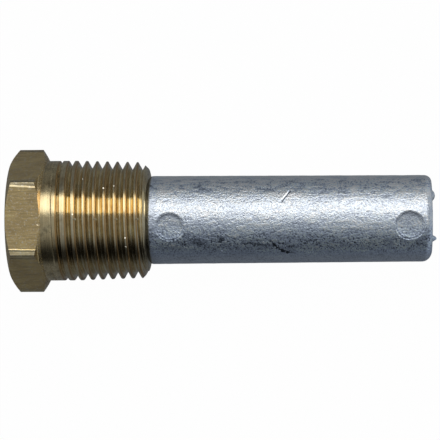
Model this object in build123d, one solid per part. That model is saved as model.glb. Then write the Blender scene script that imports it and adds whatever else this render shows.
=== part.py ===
from build123d import *
import os
from math import atan, ceil, cos, degrees, radians, sqrt, tan

# A pencil anode for a marine heat exchanger: a cast zinc rod screwed into a brass pipe plug.
# Both pieces share the X axis, which runs from the hexagon head to the zinc tip.
# The origin is the centre of the head's underside. One flat of the hexagon faces down.

inch = 25.4

# Hexagon head, cut from hexagon bar.
head_across_flats = 22.225
head_height = 6.15
head_corner_radius = 0.3
outer_chamfer_angle = 30
outer_face_diameter = 21.9
underside_chamfer_angle = 27
underside_diameter = 22.0

# Plain neck and the blank that the pipe thread is cut on.
neck_diameter = 21.5
threaded_length = 18.1
pipe_taper = 1 / 16
small_end_diameter = 20.72
plug_end_diameter = 18.5
plug_end_chamfer_angle = 45

# Pipe thread, 14 turns to the inch, with a 60 degree form.
threads_per_inch = 14
thread_angle = 60
crest_flat = 0.15
root_flat = 0.07
thread_start_angle = 303

# Run-out towards the head: two shallow turns, then one in which the groove closes.
groove_closes_at = 1.25
throat_depth = 0.75
throat_turns = 2
cutter_clearance = 0.05

# The groove is cut in passes that overlap, with every other one a little deeper.
pass_overlap = 0.05
pass_step = 0.01

# Blind hole for the zinc, drawn at the 3/8 inch size of its thread.
tapped_hole_diameter = 9.525
tapped_hole_depth = 15.0
drill_point_angle = 118
hole_mouth_diameter = 10.6

# Zinc rod and the stub that screws into the plug.
shoulder_diameter = 15.8
tip_diameter = 15.36
zinc_length = 50.4
shoulder_chamfer = 0.6
tip_edge_radius = 1.25
stub_length = 12.5
stub_clearance = 0.1
stub_end_chamfer = 0.8
stub_root_depth = 1.0

# The tip's edge is worn rounder towards the -Y side.
worn_edge_radius = 1.9
worn_edge_offset = 0.75
worn_edge_margin = 0.03

# Round marks that the ejector pins left in the side of the rod.
ejector_mark_diameter = 4.8
ejector_mark_angle = 11
shoulder_mark_distance = 4.4
shoulder_mark_depth = 0.42
tip_mark_distance = 46.4
tip_mark_depth = 0.55

# Cast nubs on the tip face.
round_nub_offset = 3.95
pointed_nub_offset = 3.6
nub_height_above_axis = 1.6
round_nub_diameter = 2.1
round_nub_stand_out = 0.6
pointed_nub_diameter = 1.9
pointed_nub_stand_out = 0.8
pointed_nub_tip_diameter = 0.5
nub_root_depth = 0.6

# Sizes that follow from the ones above.
pitch = inch / threads_per_inch
flank_slope = tan(radians(thread_angle / 2))
thread_depth = (pitch - crest_flat - root_flat) / 2 / flank_slope
throat_start = groove_closes_at + pitch
full_thread_start = throat_start + throat_turns * pitch
groove_half_width = root_flat / 2 + thread_depth * flank_slope
zinc_end = threaded_length + zinc_length


def taper_radius(x):
    """Radius of the thread's crests at a distance x from the head."""
    return small_end_diameter / 2 + (threaded_length - x) * pipe_taper / 2


def revolve_profile(points):
    """Solid of revolution about X from points given as (x, radius)."""
    outline = Polyline(*points, close=True)
    return revolve(Plane.XY * make_face(outline), Axis.X)


def hexagon_head():
    """Hexagon bar with rounded corners, faced and chamfered on both sides."""
    corner_distance = head_across_flats / sqrt(3)
    section = RegularPolygon(corner_distance, 6)
    section = fillet(section.vertices(), head_corner_radius)
    bar = extrude(Plane.YZ * section, -head_height)
    outer_drop = (corner_distance - outer_face_diameter / 2) * tan(radians(outer_chamfer_angle))
    under_drop = (corner_distance - underside_diameter / 2) * tan(radians(underside_chamfer_angle))
    envelope = revolve_profile([
        (0, 0),
        (0, underside_diameter / 2),
        (-under_drop, corner_distance),
        (outer_drop - head_height, corner_distance),
        (-head_height, outer_face_diameter / 2),
        (-head_height, 0),
    ])
    return bar & envelope


def threaded_blank():
    """Tapered shank before the thread is cut, turned down to the neck and chamfered at its end."""
    end_radius = plug_end_diameter / 2
    chamfer_length = (small_end_diameter / 2 - end_radius) / tan(radians(plug_end_chamfer_angle))
    chamfer_start = threaded_length - chamfer_length
    taper = revolve_profile([
        (0, 0),
        (0, taper_radius(0)),
        (chamfer_start, taper_radius(chamfer_start)),
        (threaded_length, end_radius),
        (threaded_length, 0),
    ])
    neck = Rot(Y=90) * Cylinder(
        neck_diameter / 2, threaded_length, align=(Align.CENTER, Align.CENTER, Align.MIN)
    )
    return taper & neck


def groove_cutter(start, root_radius, growth, length, extra_depth):
    """Stretch of the V groove; its root radius changes by growth for each millimetre along X."""
    start -= pass_overlap
    root_radius -= growth * pass_overlap + extra_depth
    length += 2 * pass_overlap
    top_radius = root_radius + thread_depth
    outside_radius = top_radius + thread_depth
    half_root = root_flat / 2
    section = Polyline(
        (root_radius, start - half_root),
        (top_radius, start - groove_half_width),
        (outside_radius, start - groove_half_width),
        (outside_radius, start + groove_half_width),
        (top_radius, start + groove_half_width),
        (root_radius, start + half_root),
        close=True,
    )
    cone_angle = degrees(atan(growth))
    slant_pitch = pitch / cos(radians(cone_angle))
    path = Helix(slant_pitch, length, root_radius, center=(0, 0, start), cone_angle=cone_angle)
    stretch = sweep(Plane.XZ * make_face(section), path=path, is_frenet=True)
    turned = Rot(Z=thread_start_angle + 360 * start / pitch) * stretch
    return Rot(Y=90) * turned


def groove_stretches():
    """Start, root radius, growth and length of each pass that cuts the groove, from the head out."""
    open_root = neck_diameter / 2 + cutter_clearance
    throat_root = neck_diameter / 2 - throat_depth
    full_root = taper_radius(full_thread_start) - thread_depth
    closing_growth = (throat_root - open_root) / pitch
    throat_growth = (full_root - throat_root) / (full_thread_start - throat_start)
    stretches = [(groove_closes_at, open_root, closing_growth, pitch)]
    for turn in range(throat_turns):
        advance = turn * pitch
        stretches.append((throat_start + advance, throat_root + throat_growth * advance, throat_growth, pitch))
    full_turns = ceil((threaded_length + groove_half_width - full_thread_start) / pitch)
    for turn in range(full_turns):
        x = full_thread_start + turn * pitch
        stretches.append((x, taper_radius(x) - thread_depth, -pipe_taper / 2, pitch))
    return stretches


def tapped_hole():
    """Blind hole from the plug's end, with a countersunk mouth and a drill point."""
    hole_radius = tapped_hole_diameter / 2
    mouth_radius = hole_mouth_diameter / 2
    bottom = threaded_length - tapped_hole_depth
    point_depth = hole_radius / tan(radians(drill_point_angle / 2))
    return revolve_profile([
        (bottom - point_depth, 0),
        (bottom, hole_radius),
        (threaded_length - (mouth_radius - hole_radius), hole_radius),
        (threaded_length, mouth_radius),
        (threaded_length, 0),
    ])


def brass_plug():
    """The turned plug: head, neck, tapered thread and tapped hole in one piece."""
    shank = threaded_blank()
    for number, stretch in enumerate(groove_stretches()):
        shank -= groove_cutter(*stretch, extra_depth=pass_step * (number % 2))
    return hexagon_head() + shank - tapped_hole()


def rod_radius(distance):
    """Radius of the rod at a distance from its shoulder; it narrows towards the tip, as cast."""
    return shoulder_diameter / 2 - (shoulder_diameter - tip_diameter) / 2 * distance / zinc_length


def round_ended_rod(extra_radius, length, edge_radius):
    """Rod from the plug's end to a flat end face with a rounded edge."""
    rod = Pos(X=threaded_length) * Rot(Y=90) * Cone(
        rod_radius(0) + extra_radius,
        rod_radius(length) + extra_radius,
        length,
        align=(Align.CENTER, Align.CENTER, Align.MIN),
    )
    return fillet(rod.edges().filter_by(GeomType.CIRCLE).sort_by(Axis.X)[-1], edge_radius)


def worn_rod():
    """The plain rod, cut by a larger one set off towards +Y: what lies outside its edge has worn away."""
    rod = round_ended_rod(0, zinc_length, tip_edge_radius)
    extra_radius = worn_edge_offset + worn_edge_margin
    envelope = round_ended_rod(extra_radius, zinc_length + worn_edge_margin, worn_edge_radius)
    shoulder = rod.edges().filter_by(GeomType.CIRCLE).sort_by(Axis.X)[0]
    return chamfer(shoulder, shoulder_chamfer) & Pos(Y=worn_edge_offset) * envelope


def threaded_stub():
    """The stub that screws into the plug, drawn as a plain chamfered cylinder."""
    stub_radius = tapped_hole_diameter / 2 - stub_clearance
    end = threaded_length - stub_length
    inside_rod = threaded_length + stub_root_depth
    return revolve_profile([
        (end, 0),
        (end, stub_radius - stub_end_chamfer),
        (end + stub_end_chamfer, stub_radius),
        (inside_rod, stub_radius),
        (inside_rod, 0),
    ])


def ejector_mark(distance, depth):
    """Flat-bottomed round recess, at a distance along the rod from its shoulder."""
    floor_height = rod_radius(distance) - depth
    mark = Pos(X=threaded_length + distance, Z=floor_height) * Cylinder(
        ejector_mark_diameter / 2, shoulder_diameter, align=(Align.CENTER, Align.CENTER, Align.MIN)
    )
    return Rot(X=ejector_mark_angle) * mark


def round_nub():
    """Cap of a ball on the +Y half of the tip face."""
    radius = round_nub_diameter / 2
    ball_radius = (radius**2 + round_nub_stand_out**2) / (2 * round_nub_stand_out)
    centre = zinc_end + round_nub_stand_out - ball_radius
    return Pos(centre, round_nub_offset, nub_height_above_axis) * Rot(Y=90) * Sphere(ball_radius)


def pointed_nub():
    """Conical nub on the -Y half of the tip face."""
    root = zinc_end - nub_root_depth
    cone = Cone(
        pointed_nub_diameter / 2,
        pointed_nub_tip_diameter / 2,
        nub_root_depth + pointed_nub_stand_out,
        align=(Align.CENTER, Align.CENTER, Align.MIN),
    )
    return Pos(root, -pointed_nub_offset, nub_height_above_axis) * Rot(Y=90) * cone


def zinc_pencil():
    """The cast anode: rod, stub, worn tip, ejector marks and nubs in one piece."""
    rod = worn_rod()
    rod -= ejector_mark(shoulder_mark_distance, shoulder_mark_depth)
    rod -= ejector_mark(tip_mark_distance, tip_mark_depth)
    return rod + threaded_stub() + round_nub() + pointed_nub()


os.makedirs("parts", exist_ok=True)
export_step(brass_plug(), "parts/brass_plug.step")
export_step(zinc_pencil(), "parts/zinc_pencil.step")
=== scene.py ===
from math import atan2, cos, radians, sin

import bpy
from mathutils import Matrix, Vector


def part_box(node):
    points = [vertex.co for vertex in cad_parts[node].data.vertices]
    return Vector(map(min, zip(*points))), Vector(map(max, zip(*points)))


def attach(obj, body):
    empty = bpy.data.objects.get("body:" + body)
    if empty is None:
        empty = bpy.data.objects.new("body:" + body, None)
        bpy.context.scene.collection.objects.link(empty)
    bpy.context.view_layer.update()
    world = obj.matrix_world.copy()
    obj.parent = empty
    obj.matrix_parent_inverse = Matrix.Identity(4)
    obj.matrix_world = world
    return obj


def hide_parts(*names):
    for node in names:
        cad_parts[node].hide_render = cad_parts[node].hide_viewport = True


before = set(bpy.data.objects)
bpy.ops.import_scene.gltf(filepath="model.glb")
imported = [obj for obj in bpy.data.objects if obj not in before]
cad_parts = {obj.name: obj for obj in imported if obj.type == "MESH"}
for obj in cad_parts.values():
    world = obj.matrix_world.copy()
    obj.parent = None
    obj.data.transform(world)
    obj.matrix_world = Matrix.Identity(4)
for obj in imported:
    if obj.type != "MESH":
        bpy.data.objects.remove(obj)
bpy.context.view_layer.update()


# Camera. It looks almost straight down on the part, which lies with its head to the left.
camera_place = (0.054070, -0.010313, 0.352861)
camera_turn = (radians(1.6419), radians(3.77), radians(-0.2737))
bpy.ops.object.select_all(action="DESELECT")
bpy.ops.object.camera_add(location=camera_place, rotation=camera_turn)
camera = bpy.context.object
camera.name = "studio_camera"
camera.data.sensor_width = 36
camera.data.lens = 161.815
camera.data.clip_start = 0.01
bpy.context.scene.camera = camera
bpy.context.scene.view_settings.view_transform = "Standard"


# Floor. A matt white table top, tilted a little so that both the flat of the hexagon and the
# thinner zinc tip rest on it. It is white to the camera and keeps a faint shadow of the part.
def linear(colour):
    """A colour such as "#8a744b" as linear red, green, blue and alpha."""
    parts = [int(colour[start:start + 2], 16) / 255 for start in (1, 3, 5)]
    parts = [
        part / 12.92 if part <= 0.04045 else ((part + 0.055) / 1.055) ** 2.4 for part in parts
    ]
    return (*parts, 1)


def add_node(tree, kind, inputs=(), **settings):
    """A new shader node, set up and linked.

    Its inputs come by name, or as a list in the order in which the node shows them. Each is a
    value, an output, or a whole node, which stands for the first output that it shows. MapRange
    takes a reading, the range that it runs over and the two values that it becomes there. Mix
    takes a share and the two things that it mixes.
    """
    node = tree.nodes.new("ShaderNode" + kind)
    for name, value in settings.items():
        setattr(node, name, value)
    if isinstance(inputs, dict):
        filled = [(node.inputs[name], value) for name, value in inputs.items()]
    else:
        filled = zip([socket for socket in node.inputs if socket.enabled], inputs)
    for socket, value in filled:
        if isinstance(value, bpy.types.Node):
            value = next(output for output in value.outputs if output.enabled)
        if isinstance(value, bpy.types.NodeSocket):
            tree.links.new(value, socket)
        else:
            socket.default_value = value
    return node


def empty_material(name):
    """A new material with nothing in its node tree."""
    material = bpy.data.materials.new(name)
    material.use_nodes = True
    material.node_tree.nodes.clear()
    return material


def background_rays(tree):
    """One for the rays that show the background: those of the camera, of gloss and of glass."""
    ray = add_node(tree, "LightPath").outputs
    seen = [ray["Is Camera Ray"], ray["Is Glossy Ray"]]
    seen = add_node(tree, "Math", seen, operation="MAXIMUM")
    return add_node(tree, "Math", [seen, ray["Is Transmission Ray"]], operation="MAXIMUM")


# Sizes here are in metres.
floor_size = 3
floor_gap = 0.0002
plug_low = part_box("brass_plug")[0]
zinc_low, zinc_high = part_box("zinc_pencil")
table_tilt = (0, -atan2(zinc_low.z - plug_low.z, zinc_high.x), 0)
floor_place = (0, 0, plug_low.z - floor_gap)
bpy.ops.object.select_all(action="DESELECT")
bpy.ops.mesh.primitive_plane_add(size=floor_size, location=floor_place, rotation=table_tilt)
floor = bpy.context.object
floor.name = "white_floor"

# White laminate without gloss. To the camera nearly all of its brightness is its own, so it
# stays even from edge to edge, and the small rest shows the shadow.
own_light = 0.985
white_table = empty_material("matt_white_laminate")
tree = white_table.node_tree
matt = add_node(tree, "BsdfDiffuse", {"Color": linear("#f4f4f4")})
glow = add_node(tree, "Emission", {"Color": linear("#ffffff"), "Strength": 1})
share = add_node(tree, "Math", [background_rays(tree), own_light], operation="MULTIPLY")
mixed = add_node(tree, "MixShader", [share, matt, glow])
add_node(tree, "OutputMaterial", {"Surface": mixed})
white_table.cycles.emission_sampling = "NONE"
floor.data.materials.append(white_table)


# Surroundings. A grey tent and a dark card under the part, which the camera doesn't see. They keep
# the edges of the metal dark, as flags do in a studio.
tent_radius = 1.2
tent_middle = (0.03, 0, 0)
bpy.ops.object.select_all(action="DESELECT")
bpy.ops.mesh.primitive_uv_sphere_add(
    segments=64, ring_count=32, radius=tent_radius, location=tent_middle
)
tent = bpy.context.object
tent.name = "grey_tent"

# Tent cloth, brighter towards the top and the tip's end. A darker panel hangs on the -Y side,
# and it draws the dark line along the lower half of the part.
cloth_level = (0.12, 0.33)
panel_top = (radians(-62), radians(-46))
panel_bottom = (radians(-94), radians(-79))
panel_level = 0.12
tip_end_level = 0.24
tent_cloth = empty_material("grey_tent_cloth")
tree = tent_cloth.node_tree
place = add_node(tree, "TexCoord").outputs["Object"]
towards = add_node(tree, "VectorMath", [place], operation="NORMALIZE")
to_tip, to_side, to_top = add_node(tree, "SeparateXYZ", [towards]).outputs
grey = add_node(
    tree, "MapRange", [to_top, 0.55, 0.97, *cloth_level], interpolation_type="SMOOTHSTEP"
)
lean = add_node(tree, "Math", [to_side, to_top], operation="ARCTAN2")
above_panel = add_node(
    tree, "MapRange", [lean, *panel_top, panel_level, 1], interpolation_type="SMOOTHSTEP"
)
below_panel = add_node(
    tree, "MapRange", [lean, *panel_bottom, 1, 0], interpolation_type="SMOOTHSTEP"
)
open_cloth = add_node(tree, "Math", [above_panel, below_panel], operation="MAXIMUM")
level = add_node(tree, "Math", [grey, open_cloth], operation="MULTIPLY")
tip_end = add_node(tree, "MapRange", [to_tip, 0.35, 0.9, 0, tip_end_level])
level = add_node(tree, "Math", [level, tip_end], operation="ADD")
tone = add_node(tree, "Mix", [grey, linear("#eaf3ff"), linear("#ffffff")], data_type="RGBA")
glow = add_node(tree, "Emission", {"Color": tone, "Strength": level})
add_node(tree, "OutputMaterial", {"Surface": glow})
tent.data.materials.append(tent_cloth)
tent.visible_camera = False

card_size = 2.9
card_gap = 0.0001
card_place = (0, 0, plug_low.z - card_gap)
bpy.ops.object.select_all(action="DESELECT")
bpy.ops.mesh.primitive_plane_add(size=card_size, location=card_place, rotation=table_tilt)
under_card = bpy.context.object
under_card.name = "under_card"

# Dark card, a little lighter towards +Y and much lighter past the zinc tip.
card_level = (0.115, 0.165)
past_tip = (0.075, 0.1)
past_tip_level = 0.35
card_paper = empty_material("dark_card")
tree = card_paper.node_tree
place = add_node(tree, "TexCoord").outputs["Object"]
along, across = add_node(tree, "SeparateXYZ", [place]).outputs[:2]
level = add_node(tree, "MapRange", [across, -0.03, 0.03, *card_level])
tip_end = add_node(tree, "MapRange", [along, *past_tip, 0, past_tip_level])
level = add_node(tree, "Math", [level, tip_end], operation="ADD")
glow = add_node(tree, "Emission", {"Color": linear("#eaf3ff"), "Strength": level})
add_node(tree, "OutputMaterial", {"Surface": glow})
under_card.data.materials.append(card_paper)
under_card.visible_camera = False
under_card.visible_diffuse = False
under_card.visible_shadow = False


# Lights. One long soft box on the +Y side draws the bright band along the part, and the world
# fills in from all round.
aim = Vector((0.065, 0, 0))
lamp_place = Vector((0.065, 0.235, 0.385))
bpy.ops.object.select_all(action="DESELECT")
bpy.ops.object.light_add(type="AREA", location=lamp_place)
soft_box = bpy.context.object
soft_box.name = "soft_box"
soft_box.rotation_euler = (lamp_place - aim).to_track_quat("Z", "X").to_euler()
soft_box.data.shape = "RECTANGLE"
soft_box.data.size = 0.275
soft_box.data.size_y = 0.56
soft_box.data.energy = 0.83

# The world lights the part at 0.8, and it is plain white where it shows.
world = bpy.data.worlds.new("studio_world")
bpy.context.scene.world = world
world.use_nodes = True
tree = world.node_tree
tree.nodes.clear()
around = add_node(tree, "Background", {"Color": linear("#ffffff"), "Strength": 0.8})
white = add_node(tree, "Background", {"Color": linear("#ffffff"), "Strength": 1})
mixed = add_node(tree, "MixShader", [background_rays(tree), around, white])
add_node(tree, "OutputWorld", {"Surface": mixed})


# Plug. Turned from hexagon brass bar in one piece: drawn flats with burnished corners, a turned
# neck, a tapered pipe thread cut with a single point, and a film of brown tarnish over all of it.
def millimetres(tree):
    """A point's place in millimetres: along from the head's underside, across and up."""
    place = add_node(tree, "TexCoord").outputs["Object"]
    return add_node(tree, "VectorMath", [place, 1000], operation="SCALE")


def distance_from(tree, reading, place):
    """How far a reading in millimetres is from one place, on either side of it."""
    offset = add_node(tree, "Math", [reading, place], operation="SUBTRACT")
    return add_node(tree, "Math", [offset], operation="ABSOLUTE")


# Bare brass: yellow, metallic and satin, and streaked by the tool on the shank and by the die on
# the flats. Tarnish browns it in clouds, smudges of grime lie on it, and painted shade darkens the
# grooves and the -Y side. Sizes from here on are in millimetres, and depth is how far a point lies
# below the crests of the thread.
thread_end = 18.1
crest_radii = (10.926, 10.36)
head_end = 0.001
brass = empty_material("turned_brass")
tree = brass.node_tree
mm = millimetres(tree)
along, across, up = add_node(tree, "SeparateXYZ", [mm]).outputs
radial = add_node(tree, "VectorMath", [mm, (0, 1, 1)], operation="MULTIPLY")
radius = add_node(tree, "VectorMath", [radial], operation="LENGTH")
crest = add_node(tree, "MapRange", [along, 0, thread_end, *crest_radii])
depth = add_node(tree, "Math", [crest, radius], operation="SUBTRACT")
on_head = add_node(tree, "Math", [along, head_end], operation="LESS_THAN")
on_shank = add_node(tree, "Math", [1, on_head], operation="SUBTRACT")
normal = add_node(tree, "NewGeometry").outputs["Normal"]
facing_tip = add_node(tree, "SeparateXYZ", [normal]).outputs["X"]
steepness = add_node(tree, "Math", [facing_tip], operation="ABSOLUTE")
on_flat = add_node(tree, "Math", [steepness, 0.2], operation="LESS_THAN")
on_flat = add_node(tree, "Math", [on_flat, on_head], operation="MULTIPLY")

# how far a point lies from the middle of its flat. The reading wanders by 0.2 mm, and on the
# +Y side it slants, because the bar was drawn a little askew there.
slant_ends = (-5.4, -0.8)
slant_size = -0.28
sway_size = 0.4
turn = add_node(tree, "Math", [across, up], operation="ARCTAN2")
shifted = add_node(tree, "Math", [turn, radians(30)], operation="ADD")
sixth = add_node(tree, "Math", [shifted, radians(60)], operation="SNAP")
off_middle = add_node(tree, "Math", [turn, sixth], operation="SUBTRACT")
off_middle = add_node(tree, "Math", [off_middle], operation="SINE")
off_middle = add_node(tree, "Math", [off_middle, radius], operation="MULTIPLY")
from_middle = add_node(tree, "Math", [off_middle], operation="ABSOLUTE")
sway = add_node(tree, "TexNoise", {"Vector": mm, "Scale": 0.5, "Detail": 2})
from_middle = add_node(tree, "Math", [sway, sway_size, from_middle], operation="MULTIPLY_ADD")
from_middle = add_node(tree, "Math", [from_middle, sway_size / 2], operation="SUBTRACT")
far_side = add_node(tree, "Math", [across, 0], operation="GREATER_THAN")
slant = add_node(tree, "MapRange", [along, *slant_ends, slant_size, 0])
from_middle = add_node(tree, "Math", [far_side, slant, from_middle], operation="MULTIPLY_ADD")

# marks of the tool round the shank, and of the drawing die along the flats. The real ones are
# finer than 0.1 mm, so they are drawn 0.2 mm apart.
marks = []
for stretch in ((4.5, 0.15, 0.15), (0.3, 4.5, 4.5)):
    stretched = add_node(tree, "VectorMath", [mm, stretch], operation="MULTIPLY")
    look = {"Vector": stretched, "Scale": 1, "Detail": 3, "Roughness": 0.6}
    marks.append(add_node(tree, "TexNoise", look))
tool_marks, die_marks = marks
lines = add_node(tree, "Mix", [on_head, tool_marks, die_marks])

# clouds of tarnish 3 mm across, and grains and rubbed spots of 0.4 mm
clouds = add_node(tree, "TexNoise", {"Vector": mm, "Scale": 0.3, "Detail": 4, "Roughness": 0.65})
grains = add_node(tree, "TexNoise", {"Vector": mm, "Scale": 2.6, "Detail": 3, "Roughness": 0.7})
spots = add_node(tree, "TexNoise", {"Vector": mm, "Scale": 2.6, "Detail": 2, "Roughness": 0.7})

# strips beside the corners, burnished as the bar was drawn, and with painted light in their
# colour. Each begins at a fine raised line and falls away to the corner.
strip_edge = (5.33, 5.45)
raised_edge = (5.26, 5.4)
fall_edge = (5.4, 5.8)
strip = add_node(tree, "MapRange", [from_middle, *strip_edge, 0, 1])
strip = add_node(tree, "Math", [strip, on_flat], operation="MULTIPLY")
raised = add_node(tree, "MapRange", [from_middle, *raised_edge, 0, -0.34])
fall = add_node(
    tree, "MapRange", [from_middle, *fall_edge, 0, 1.2], interpolation_type="SMOOTHSTEP"
)
fall = add_node(tree, "Math", [fall, raised], operation="ADD")
fall = add_node(tree, "Math", [fall, on_flat], operation="MULTIPLY")

# painted highlight tint: a line of yellower metal along the top of the shank, where the lamp's
# bright band lies
highlight_line = 2.9
highlight_line_edge = (1.7, 2.4)
neck_end = (2, 4)
off_line = distance_from(tree, across, highlight_line)
off_line = add_node(tree, "MapRange", [off_line, *highlight_line_edge, 0, 1])
past_neck = add_node(tree, "MapRange", [along, *neck_end, 0, 1])
paler = add_node(tree, "Math", [off_line, past_neck], operation="MULTIPLY")

# colours of the turned shank, the drawn flats, their strips and the tarnish
tones = [paler, linear("#e4d3a6"), linear("#e9ddba")]
turned_tone = add_node(tree, "Mix", tones, data_type="RGBA")
skin = add_node(tree, "Mix", [on_head, turned_tone, linear("#fbdc9a")], data_type="RGBA")
# painted light on the strips: the -Y strip is paler, a painted highlight, and the +Y strip darker,
# painted shade
tones = [far_side, linear("#f4e4b4"), linear("#c4b794")]
strip_burnish_and_painted_light = add_node(tree, "Mix", tones, data_type="RGBA")
skin = add_node(tree, "Mix", [strip, skin, strip_burnish_and_painted_light], data_type="RGBA")
tarnish = add_node(tree, "MapRange", [clouds, 0.35, 0.65, 0, 0.6])
skin = add_node(tree, "Mix", [tarnish, skin, linear("#cfb280")], data_type="RGBA")
streak = add_node(tree, "MapRange", [lines, 0.3, 0.7, 0.74, 1.2])
skin = add_node(tree, "VectorMath", [skin, streak], operation="SCALE")

# pale grains on the flats, and rubbed spots low on the neck
low_neck = (-8.0, -7.2)
rub_end = (2.2, 3.4)
pale = add_node(tree, "MapRange", [spots, 0.54, 0.7, 0, 0.6])
pale = add_node(tree, "Math", [pale, on_head], operation="MULTIPLY")
bared = add_node(tree, "MapRange", [across, *low_neck, 0.9, 0])
before_thread = add_node(tree, "MapRange", [along, *rub_end, 1, 0])
spotted = add_node(tree, "MapRange", [spots, 0.42, 0.58, 0.2, 1])
for limit in (on_shank, before_thread, spotted):
    bared = add_node(tree, "Math", [bared, limit], operation="MULTIPLY")
for share, colour in ((pale, "#fff6e4"), (bared, "#ffecc0")):
    skin = add_node(tree, "Mix", [share, skin, linear(colour)], data_type="RGBA")

# painted shade: a ragged band on the -Y side, thickest in the grooves; and smudges of grime beside
# the highlight line
shade_band_top = (-4.2, -1.4)
shade_band_foot = (-6.6, -5.2)
groove_depth = (0.05, 0.3)
ragged = add_node(tree, "Math", [lines, 3.0, across], operation="MULTIPLY_ADD")
grime_and_painted_shade = add_node(tree, "MapRange", [ragged, *shade_band_top, 1, 0])
above_foot = add_node(tree, "MapRange", [ragged, *shade_band_foot, 0, 1])
sunk = add_node(tree, "MapRange", [depth, *groove_depth, 0.35, 0.75])
for limit in (above_foot, sunk):
    grime_and_painted_shade = add_node(tree, "Math", [grime_and_painted_shade, limit], operation="MULTIPLY")
smudge = add_node(tree, "TexNoise", {"Vector": mm, "Scale": 0.7, "Detail": 4, "Roughness": 0.75})
smudge = add_node(tree, "MapRange", [smudge, 0.5, 0.64, 0, 0.5])
on_neck = add_node(tree, "MapRange", [along, *neck_end, 1, 0.3])
for limit in (off_line, on_neck):
    smudge = add_node(tree, "Math", [smudge, limit], operation="MULTIPLY")
grime_and_painted_shade = add_node(tree, "Math", [grime_and_painted_shade, smudge], operation="MAXIMUM")
grime_and_painted_shade = add_node(tree, "Math", [grime_and_painted_shade, on_shank], operation="MULTIPLY")
# the dark brown of the painted shade and of the grime
skin = add_node(tree, "Mix", [grime_and_painted_shade, skin, linear("#4a4434")], data_type="RGBA")

# roughness: satin metal, to which the head adds a little, and dull strips. Some of the metal's
# shine is lost deep in the groove.
shank_roughness = (0.07, 0.15)
head_roughness = 0.05
strip_roughness = 0.3
whole_groove = (0.1, 1.4)
roughness = add_node(tree, "MapRange", [grains, 0.3, 0.7, *shank_roughness])
roughness = add_node(tree, "Math", [on_head, head_roughness, roughness], operation="MULTIPLY_ADD")
roughness = add_node(tree, "Mix", [strip, roughness, strip_roughness])
buried = add_node(tree, "MapRange", [depth, *whole_groove, 0.03, 0.08])
metal = add_node(tree, "Math", [1, buried], operation="SUBTRACT")

# worn edges, where the normal leans outwards as on a rounded edge: the crests and roots of the
# thread, the flank behind each crest, and the chamfer under the head
crest_depth = (0.04, 0.26)
root_depth = (1.2, 1.32)
flank_depth = (0.35, 0.6)
crest_foot = (0.08, 0.2)
chamfer_start = (-0.5, -0.3)
worn = add_node(tree, "MapRange", [depth, *crest_depth, 0.8, 0])
root = add_node(tree, "MapRange", [depth, *root_depth, 0, 0.75])
worn = add_node(tree, "Math", [worn, root], operation="MAXIMUM")
worn = add_node(tree, "Math", [worn, on_shank], operation="MULTIPLY")
under_head = add_node(tree, "MapRange", [facing_tip, 0.3, 0.4, 0, 0.8])
near_neck = add_node(tree, "MapRange", [along, *chamfer_start, 0, 1])
for limit in (near_neck, on_head):
    under_head = add_node(tree, "Math", [under_head, limit], operation="MULTIPLY")
flank = add_node(tree, "MapRange", [facing_tip, 0.3, 0.6, 0, 1])
flank = add_node(tree, "Math", [flank, on_shank], operation="MULTIPLY")
behind_crest = add_node(tree, "MapRange", [depth, *flank_depth, 0.85, 0])
behind_crest = add_node(tree, "Math", [behind_crest, flank], operation="MULTIPLY")

# painted reflection: a golden tint, as of brass mirrored in brass, along the highlight line under
# the head and on the flank below each crest
on_line = add_node(tree, "Math", [1, off_line], operation="SUBTRACT")
golden_painted_reflection = add_node(tree, "Math", [under_head, on_line], operation="MULTIPLY")
below_crest = add_node(tree, "MapRange", [depth, *crest_foot, 0, 1])
below_crest = add_node(tree, "Math", [below_crest, behind_crest], operation="MULTIPLY")
golden_painted_reflection = add_node(tree, "Math", [golden_painted_reflection, below_crest], operation="MAXIMUM")
skin = add_node(tree, "Mix", [golden_painted_reflection, skin, linear("#c99a58")], data_type="RGBA")

# wear leans the normal and roughens the metal, and rubbing roughens the neck by the head
rubbed_neck = (1.6, 2.6)
worn_roughness = 0.14
rubbed_roughness = 0.09
for edge in (behind_crest, under_head):
    worn = add_node(tree, "Math", [worn, edge], operation="MAXIMUM")
roughness = add_node(tree, "Math", [worn, worn_roughness, roughness], operation="MULTIPLY_ADD")
rubbed = add_node(tree, "MapRange", [along, *rubbed_neck, rubbed_roughness, 0])
roughness = add_node(tree, "Math", [rubbed, on_shank, roughness], operation="MULTIPLY_ADD")
outwards = add_node(tree, "VectorMath", [radial], operation="NORMALIZE")
leaning = add_node(tree, "Mix", [worn, normal, outwards], data_type="VECTOR")
leaning = add_node(tree, "VectorMath", [leaning], operation="NORMALIZE")

# chips of swarf that cling to the thread, each at its place and size, with the normal turned to
# the lamp and a painted highlight in the colour. They are flakes of about 0.1 mm in truth, and are
# drawn larger so that they show.
chips = [
    ((-0.28, -1.05, 10.95), 0.24), ((11.05, 5.41, 9.09), 0.17), ((12.86, 5.77, 8.81), 0.12),
    ((7.21, 7.08, 8.03), 0.17), ((5.91, 0.83, 10.71), 0.19), ((14.91, -3.37, 9.9), 0.17),
    ((15.0, -4.92, 9.23), 0.11), ((18.1, -1.05, 10.31), 0.19),
]
chip_shape = (0.8, 1.3, 1.3)
towards_lamp = (0, 0.28, 0.96)
nearest = None
for chip, size in chips:
    gap = add_node(tree, "VectorMath", [mm, chip], operation="SUBTRACT")
    gap = add_node(tree, "VectorMath", [gap, chip_shape], operation="MULTIPLY")
    gap = add_node(tree, "VectorMath", [gap], operation="LENGTH")
    gap = add_node(tree, "Math", [gap, size], operation="DIVIDE")
    nearest = add_node(tree, "Math", [nearest, gap], operation="MINIMUM") if nearest else gap
specks = add_node(tree, "TexNoise", {"Vector": mm, "Scale": 5, "Detail": 1})
nearest = add_node(tree, "Math", [specks, 1.6, nearest], operation="MULTIPLY_ADD")
glint = add_node(tree, "MapRange", [nearest, 1.4, 2.0, 0.8, 0])
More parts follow.
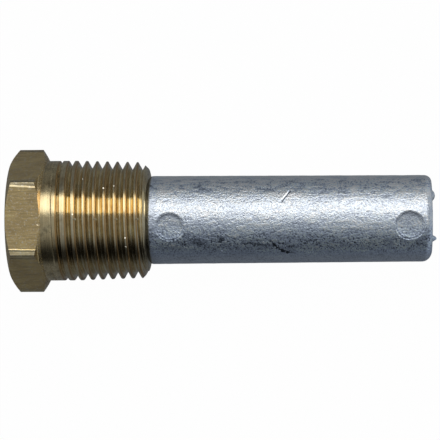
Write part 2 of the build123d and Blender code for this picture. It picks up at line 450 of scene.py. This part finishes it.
leaning = add_node(tree, "Mix", [glint, leaning, towards_lamp], data_type="VECTOR")
# painted highlight: each chip is coloured near white where it glints
skin = add_node(tree, "Mix", [glint, skin, linear("#fff8e8")], data_type="RGBA")

# relief: the tool marks, the strips, and a line scribed round the neck where the groove of the
# thread runs out
mark_height = 0.02
strip_fall = -0.06
thread_rise = 0.2887  # along the axis for each radian of a turn, at 14 turns to the inch
scribed_start = 1.946
scribed_width = 0.12
scribed_depth = 0.06
height = add_node(tree, "MapRange", [lines, 0, 1, 0, mark_height])
height = add_node(tree, "Math", [fall, strip_fall, height], operation="MULTIPLY_ADD")
helix = add_node(tree, "Math", [turn, thread_rise, along], operation="MULTIPLY_ADD")
scribed = distance_from(tree, helix, scribed_start)
scribed = add_node(tree, "MapRange", [scribed, 0, scribed_width, scribed_depth, 0])
scribed = add_node(tree, "Math", [scribed, on_shank], operation="MULTIPLY")
height = add_node(tree, "Math", [height, scribed], operation="SUBTRACT")
bump = add_node(
    tree, "Bump", {"Strength": 1, "Distance": 0.001, "Height": height, "Normal": leaning}
)
shader = add_node(
    tree, "BsdfPrincipled",
    {"Base Color": skin, "Metallic": metal, "Roughness": roughness, "Normal": bump},
)
add_node(tree, "OutputMaterial", {"Surface": shader})
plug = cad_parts["brass_plug"]
plug.data.materials.clear()
plug.data.materials.append(brass)


# Zinc. A pencil cast in a steel mould, dull grey, with soft edges, a fine grain and slow waves
# where the metal chilled. It carries scratches and smears from handling.
# Sizes of the mesh, in metres.
weld_gap = 0.000001
skin_step = 0.00021
wave_length = 0.0016
wave_height = 0.00005
zinc = bpy.data.objects.new("cast_zinc_rod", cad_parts["zinc_pencil"].data.copy())
bpy.context.scene.collection.objects.link(zinc)
bpy.ops.object.select_all(action="DESELECT")
zinc.select_set(True)
bpy.context.view_layer.objects.active = zinc
bpy.ops.object.mode_set(mode="EDIT")
bpy.ops.mesh.select_all(action="SELECT")
bpy.ops.mesh.remove_doubles(threshold=weld_gap)
bpy.ops.object.mode_set(mode="OBJECT")
soft_skin = zinc.modifiers.new("soft_skin", "REMESH")
soft_skin.mode = "VOXEL"
soft_skin.voxel_size = skin_step
soft_skin.use_smooth_shade = True
bpy.ops.object.modifier_apply(modifier=soft_skin.name)
settled = zinc.modifiers.new("settled", "SMOOTH")
settled.factor = 0.5
settled.iterations = 3
bpy.ops.object.modifier_apply(modifier=settled.name)
chill = bpy.data.textures.new("chill_waves", "CLOUDS")
chill.noise_scale = wave_length
chill.noise_depth = 2
waves = zinc.modifiers.new("waves", "DISPLACE")
waves.texture = chill
waves.texture_coords = "LOCAL"
waves.strength = wave_height
waves.mid_level = 0.5
bpy.ops.object.modifier_apply(modifier=waves.name)

# Bare zinc as cast: a cold grey metal, duller than the brass, mottled by its crystals.
cast = empty_material("cast_zinc_skin")
tree = cast.node_tree
mm = millimetres(tree)
along, across, up = add_node(tree, "SeparateXYZ", [mm]).outputs


def line_gap(tree, point, start, end):
    """Distance in millimetres from a point to the straight line between two places."""
    step = Vector(end) - Vector(start)
    per_length = step / step.length_squared
    offset = add_node(tree, "VectorMath", [point, start], operation="SUBTRACT")
    share = add_node(tree, "VectorMath", [offset, per_length], operation="DOT_PRODUCT")
    share = add_node(tree, "Clamp", [share])
    foot = add_node(tree, "VectorMath", [step, share], operation="SCALE")
    return add_node(tree, "VectorMath", [offset, foot], operation="DISTANCE")


# crystals of the casting, 0.2 to 0.4 mm across, with patches of about 1 mm and clouds of 2.5 mm,
# both drawn out along the rod
drawn_out = add_node(tree, "VectorMath", [mm, (0.4, 1, 1)], operation="MULTIPLY")
grains = []
for point, scale, detail, roughness in (
    (mm, 4, 1, 0.5), (mm, 2.3, 2, 0.6), (drawn_out, 1.3, 3, 0.6), (drawn_out, 0.4, 2, 0.5),
):
    look = {"Vector": point, "Scale": scale, "Detail": detail, "Roughness": roughness}
    grains.append(add_node(tree, "TexNoise", look))
fine, grain, patches, clouds = grains
speckle = add_node(tree, "Math", [fine, grain], operation="ADD")
tones = add_node(tree, "Math", [patches, clouds], operation="ADD")
tones = add_node(tree, "Math", [tones, 0.7, speckle], operation="MULTIPLY_ADD")
shade = add_node(tree, "MapRange", [tones, 1.3, 2.1, 0.6, 1.45])

# the mottle fades out towards both edges of the rod, where painted shade darkens the -Y edge a
# little, and painted light makes the +Y side a little lighter
low_edge = (-6.4, -5.0)
high_edge = (6.4, 7.2)
fade_low = add_node(tree, "MapRange", [across, *low_edge, 0.65, 0])
fade_high = add_node(tree, "MapRange", [across, *high_edge, 0, 0.65])
fade = add_node(tree, "Math", [fade_low, fade_high], operation="MAXIMUM")
low_edge_painted_shade = add_node(tree, "MapRange", [across, -5, -3, 0.9, 1])
shade = add_node(tree, "Mix", [fade, shade, low_edge_painted_shade])
painted_light_side = add_node(tree, "MapRange", [across, 2.5, 4, 1, 1.13])
shade = add_node(tree, "Math", [shade, painted_light_side], operation="MULTIPLY")

# painted reflection: a bluer tint on the -Y half and high on the +Y side, but not at the very
# edges
outer_edge = (6.0, 6.9)
blue_low = add_node(tree, "MapRange", [across, -3.5, 1, 1, 0])
blue_high = add_node(tree, "MapRange", [across, 2.5, 5, 0, 0.8])
painted_cool_tint = add_node(tree, "Math", [blue_low, blue_high], operation="MAXIMUM")
from_axis = add_node(tree, "Math", [across], operation="ABSOLUTE")
inside = add_node(tree, "MapRange", [from_axis, *outer_edge, 1, 0.2])
painted_cool_tint = add_node(tree, "Math", [painted_cool_tint, inside], operation="MULTIPLY")

# smooth rim by the plug, painted darker and olive as painted shade, and a stretch of painted shade
# behind it
rim_edge = (18.6, 18.95)
dark_stretch = (19, 21)
shaded_rim = add_node(tree, "MapRange", [along, *rim_edge, 1, 0])
near_plug_shade = add_node(tree, "MapRange", [along, *dark_stretch, 0.82, 1])
shade = add_node(tree, "Math", [shade, near_plug_shade], operation="MULTIPLY")
shade = add_node(tree, "Mix", [shaded_rim, shade, 0.52])
skin = add_node(tree, "Mix", [painted_cool_tint, linear("#eef5ff"), linear("#deebff")], data_type="RGBA")
skin = add_node(tree, "Mix", [shaded_rim, skin, linear("#c8c6b8")], data_type="RGBA")

# marks of the two ejector pins, measured from the axis of the nearer one. A dark line of painted
# shade runs round each floor, broken at its sides, and a low burr stands outside it, higher at the
# second pin. A painted shadow of the wall darkens the upper part of each floor.
pin_places = (22.5, 64.5)
pin_radius = 2.4
pin_tilt = radians(11)
shadow_line_radius = 2.47
burr_radius = 2.8
front_height = (3.5, 4.5)
pin_side = (0, cos(pin_tilt), sin(pin_tilt))
pin_axis = (0, -sin(pin_tilt), cos(pin_tilt))
first_pin, second_pin = [distance_from(tree, along, place) for place in pin_places]
beside = add_node(tree, "Math", [first_pin, second_pin], operation="MINIMUM")
above = add_node(tree, "VectorMath", [mm, pin_side], operation="DOT_PRODUCT")
from_pin = add_node(tree, "CombineXYZ", [beside, above])
from_pin = add_node(tree, "VectorMath", [from_pin], operation="LENGTH")
front = add_node(tree, "MapRange", [up, *front_height, 0, 1])
uneven = add_node(tree, "Math", [patches, 0.3, from_pin], operation="MULTIPLY_ADD")
pin_floor = add_node(tree, "MapRange", [from_pin, 2.3, pin_radius, 1, 0])
pin_floor = add_node(tree, "Math", [pin_floor, front], operation="MULTIPLY")
wall = distance_from(tree, from_pin, pin_radius)
wall = add_node(tree, "MapRange", [wall, 0.2, 0.36, 0.85, 0])
wall = add_node(tree, "Math", [wall, front], operation="MULTIPLY")
shadow_ring = distance_from(tree, uneven, shadow_line_radius)
shadow_ring = add_node(tree, "MapRange", [shadow_ring, 0.05, 0.18, 1, 0])
broken = add_node(tree, "MapRange", [beside, 1.2, 2.3, 0.7, 0.2])
for limit in (front, broken):
    shadow_ring = add_node(tree, "Math", [shadow_ring, limit], operation="MULTIPLY")
burr = distance_from(tree, uneven, burr_radius)
burr = add_node(tree, "MapRange", [burr, 0, 0.2, 1, 0], interpolation_type="SMOOTHSTEP")
higher_at_tip = add_node(tree, "MapRange", [along, 40, 50, 0.3, 0.8])
for limit in (front, higher_at_tip):
    burr = add_node(tree, "Math", [burr, limit], operation="MULTIPLY")
# painted shadow: the wall darkens the upper part of each floor
crescent_shadow = add_node(tree, "MapRange", [above, 1.2, 2.2, 1, 0.7])
floor_shade = add_node(tree, "Mix", [pin_floor, 1, crescent_shadow])
shade = add_node(tree, "Math", [shade, floor_shade], operation="MULTIPLY")
skin = add_node(tree, "VectorMath", [skin, shade], operation="SCALE")
skin = add_node(tree, "Mix", [shadow_ring, skin, linear("#5a616b")], data_type="RGBA")

# dark smear on the -Y side: a bent line that ends in two blobs, a long faint streak before it and
# a thin tail behind it. The crystals make its edge ragged.
ragged_edge = 0.8
smear_path = [(40.31, -4.03, 6.68), (41.05, -4.9, 6.07), (41.73, -5.5, 5.53), (43.12, -5.94, 5.04)]
smear_blobs = [(42.25, -5.68, 5.35), (43.1, -5.93, 5.05)]
blob_radius = 0.22
streak_ends = ((35.2, -4.35, 6.47), (40.6, -4.75, 6.19))
tail_ends = ((43.12, -5.94, 5.04), (44.34, -6.11, 4.82))
smear = None
for start, end in zip(smear_path, smear_path[1:]):
    gap = line_gap(tree, mm, start, end)
    smear = add_node(tree, "Math", [smear, gap], operation="MINIMUM") if smear else gap
for blob in smear_blobs:
    gap = add_node(tree, "VectorMath", [mm, blob], operation="DISTANCE")
    gap = add_node(tree, "Math", [gap, blob_radius], operation="SUBTRACT")
    smear = add_node(tree, "Math", [smear, gap], operation="MINIMUM")
smear = add_node(tree, "Math", [speckle, ragged_edge, smear], operation="MULTIPLY_ADD")
stain_and_painted_shade = add_node(tree, "MapRange", [smear, 0.88, 1.1, 0.92, 0])
streak = line_gap(tree, mm, *streak_ends)
streak = add_node(tree, "Math", [speckle, ragged_edge, streak], operation="MULTIPLY_ADD")
streak = add_node(tree, "MapRange", [streak, 0.9, 1.2, 0.6, 0])
tail = line_gap(tree, mm, *tail_ends)
tail = add_node(tree, "MapRange", [tail, 0.05, 0.25, 0.45, 0])
for mark in (streak, tail):
    stain_and_painted_shade = add_node(tree, "Math", [stain_and_painted_shade, mark], operation="MAXIMUM")

# two dark spots, each at its place, with its size and strength. The crystals move their edges
# in and out, by half of the reach on average.
dark_spots = [((31.55, -3.56, 6.99), 0.9, 0.75), ((27.49, -4.14, 6.68), 1.3, 0.5)]
crystal_reach = 2.4
core_share = 0.4
for place, size, strength in dark_spots:
    gap = add_node(tree, "VectorMath", [mm, place], operation="DISTANCE")
    gap = add_node(tree, "Math", [grain, crystal_reach, gap], operation="MULTIPLY_ADD")
    core, edge = crystal_reach / 2 + size * core_share, crystal_reach / 2 + size
    spot = add_node(tree, "MapRange", [gap, core, edge, strength, 0])
    stain_and_painted_shade = add_node(tree, "Math", [stain_and_painted_shade, spot], operation="MAXIMUM")

# a dark mottle high on the +Y side, and painted shade in small pits on the -Y side, away from the
# lamp
mottle_start = (4.4, 5.4)
mottle_end = (6.7, 7.3)
pits_start = (-4.2, -1.2)
smooth_edge = (-6.2, -4.8)
shaded_pit_side = add_node(tree, "MapRange", [across, *pits_start, 0.75, 0])
off_edge = add_node(tree, "MapRange", [across, *smooth_edge, 0.25, 1])
shaded_pit_side = add_node(tree, "Math", [shaded_pit_side, off_edge], operation="MULTIPLY")
mottled_side = add_node(tree, "MapRange", [across, *mottle_start, 0, 0.34])
off_edge = add_node(tree, "MapRange", [across, *mottle_end, 1, 0])
mottled_side = add_node(tree, "Math", [mottled_side, off_edge], operation="MULTIPLY")
mottle = add_node(tree, "Math", [patches, 2.0, speckle], operation="MULTIPLY_ADD")
mottle = add_node(tree, "MapRange", [mottle, 1.75, 2.0, 1, 0])
mottle = add_node(tree, "Math", [mottle, mottled_side], operation="MULTIPLY")
pits = add_node(tree, "MapRange", [speckle, 0.82, 0.92, 1, 0])
pits = add_node(tree, "Math", [pits, shaded_pit_side], operation="MULTIPLY")
for mark in (mottle, pits):
    stain_and_painted_shade = add_node(tree, "Math", [stain_and_painted_shade, mark], operation="MAXIMUM")

# scratches: the dark side of each, a painted shadow of the wall that faces away from the lamp, and
# then the bright side of the two that are cut deeper. Each has its two ends, the half widths of
# its core and its edge, and its strength. The finest are drawn about 0.1 mm wider than they are,
# so that they show.
scratch_painted_shadows = [
    ((42.18, 2.78, 7.29), (43.66, 4.66, 6.22), 0.08, 0.16, 0.9),
    ((25.2, 0.26, 7.85), (25.72, -1.47, 7.75), 0.04, 0.18, 0.5),
    ((23.04, -1.78, 7.4), (24.24, -2.83, 7.05), 0.03, 0.14, 0.45),
]
bright_scratches = [
    ((42.08, 3.1, 7.15), (43.4, 4.8, 6.16), 0.06, 0.15, 0.95),
    ((23.14, -1.62, 7.42), (24.34, -2.67, 7.1), 0.03, 0.12, 0.4),
]
for start, end, core, edge, strength in scratch_painted_shadows:
    scratch = line_gap(tree, mm, start, end)
    scratch = add_node(tree, "MapRange", [scratch, core, edge, strength, 0])
    stain_and_painted_shade = add_node(tree, "Math", [stain_and_painted_shade, scratch], operation="MAXIMUM")
# the dark grey of the smears and spots, and of the painted shade in the pits and the scratches
skin = add_node(tree, "Mix", [stain_and_painted_shade, skin, linear("#20262e")], data_type="RGBA")
bright = None
for start, end, core, edge, strength in bright_scratches:
    scratch = line_gap(tree, mm, start, end)
    scratch = add_node(tree, "MapRange", [scratch, core, edge, strength, 0])
    bright = add_node(tree, "Math", [bright, scratch], operation="MAXIMUM") if bright else scratch

# relief: the crystals, and the burr round each pin's mark
crystal_height = 0.07
burr_height = 0.03
relief = add_node(tree, "Math", [patches, 1.2, speckle], operation="MULTIPLY_ADD")
relief = add_node(tree, "Math", [relief, crystal_height], operation="MULTIPLY")
relief = add_node(tree, "Math", [burr, burr_height, relief], operation="MULTIPLY_ADD")

# the wall of each mark is rounded into its floor, and the bright sides of the scratches and
# three small nicks lean towards the lamp
nicks = [(31.53, -5.62, 5.46), (57.62, 7.65, 1.11), (24.4, -2.8, 7.0)]
normal = add_node(tree, "NewGeometry").outputs["Normal"]
leaning = add_node(tree, "Mix", [wall, normal, pin_axis], data_type="VECTOR")
nearest = None
for nick in nicks:
    gap = add_node(tree, "VectorMath", [mm, nick], operation="DISTANCE")
    nearest = add_node(tree, "Math", [nearest, gap], operation="MINIMUM") if nearest else gap
glint = add_node(tree, "MapRange", [nearest, 0.08, 0.22, 0.6, 0])
glint = add_node(tree, "Math", [glint, bright], operation="MAXIMUM")
leaning = add_node(tree, "Mix", [glint, leaning, towards_lamp], data_type="VECTOR")
leaning = add_node(tree, "VectorMath", [leaning], operation="NORMALIZE")
bump = add_node(
    tree, "Bump", {"Strength": 1, "Distance": 0.001, "Height": relief, "Normal": leaning}
)

# roughness: a dull skin, and clean metal in the scratches
cast_roughness = (0.38, 0.5)
scratch_roughness = 0.15
roughness = add_node(tree, "MapRange", [patches, 0.3, 0.7, *cast_roughness])
roughness = add_node(tree, "Mix", [bright, roughness, scratch_roughness])
shader = add_node(
    tree, "BsdfPrincipled",
    {"Base Color": skin, "Metallic": 1, "Roughness": roughness, "Normal": bump},
)
add_node(tree, "OutputMaterial", {"Surface": shader})
zinc.data.materials.clear()
zinc.data.materials.append(cast)
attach(zinc, "root")
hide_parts("zinc_pencil")
